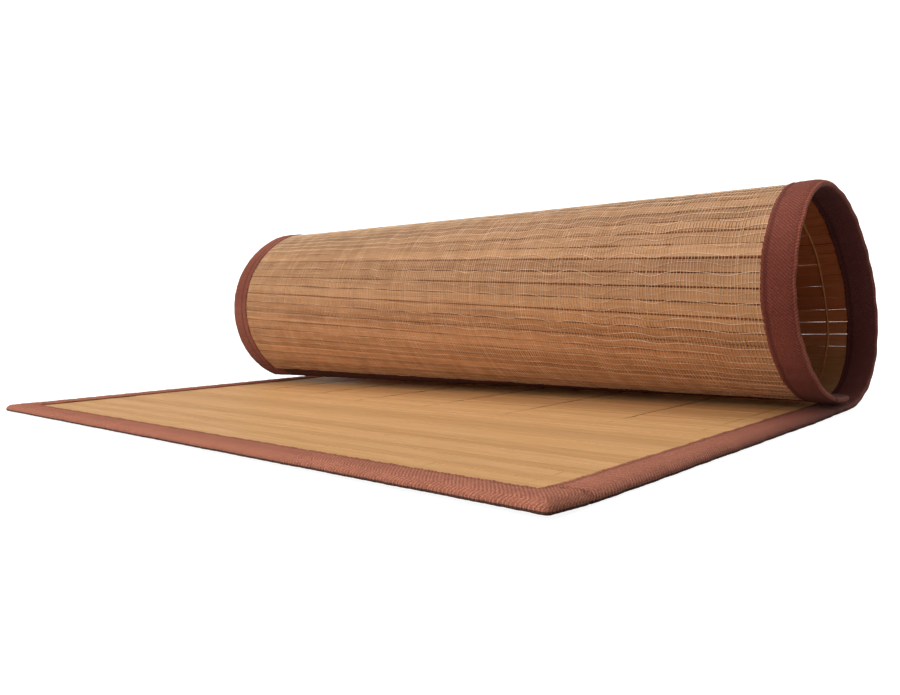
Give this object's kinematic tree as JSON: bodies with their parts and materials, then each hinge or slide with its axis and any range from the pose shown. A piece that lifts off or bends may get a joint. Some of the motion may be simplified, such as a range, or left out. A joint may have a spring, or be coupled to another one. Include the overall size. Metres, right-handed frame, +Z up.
{
  "type": "rolled bamboo placemat",
  "caption": "Slatted bamboo placemat with folded woven tape round its edges: the front lies flat on the table and the back curls up and over into an open roll.",
  "frame": {"origin": "middle of the underside of the mat's box, on the table plane", "axes": "+X along the slats and the roll, towards the end that is rolled a little tighter; +Y from the open front edge towards the roll; +Z up"},
  "size_m": [0.33, 0.2252, 0.0947],
  "materials": {
    "bamboo_slats": "satin",
    "edge_tape": "matte"
  },
  "bodies": {
    "root": {"slat_panel": "bamboo_slats", "front_binding": "edge_tape", "back_binding": "edge_tape", "left_binding": "edge_tape", "right_binding": "edge_tape"}
  },
  "joints": []
}
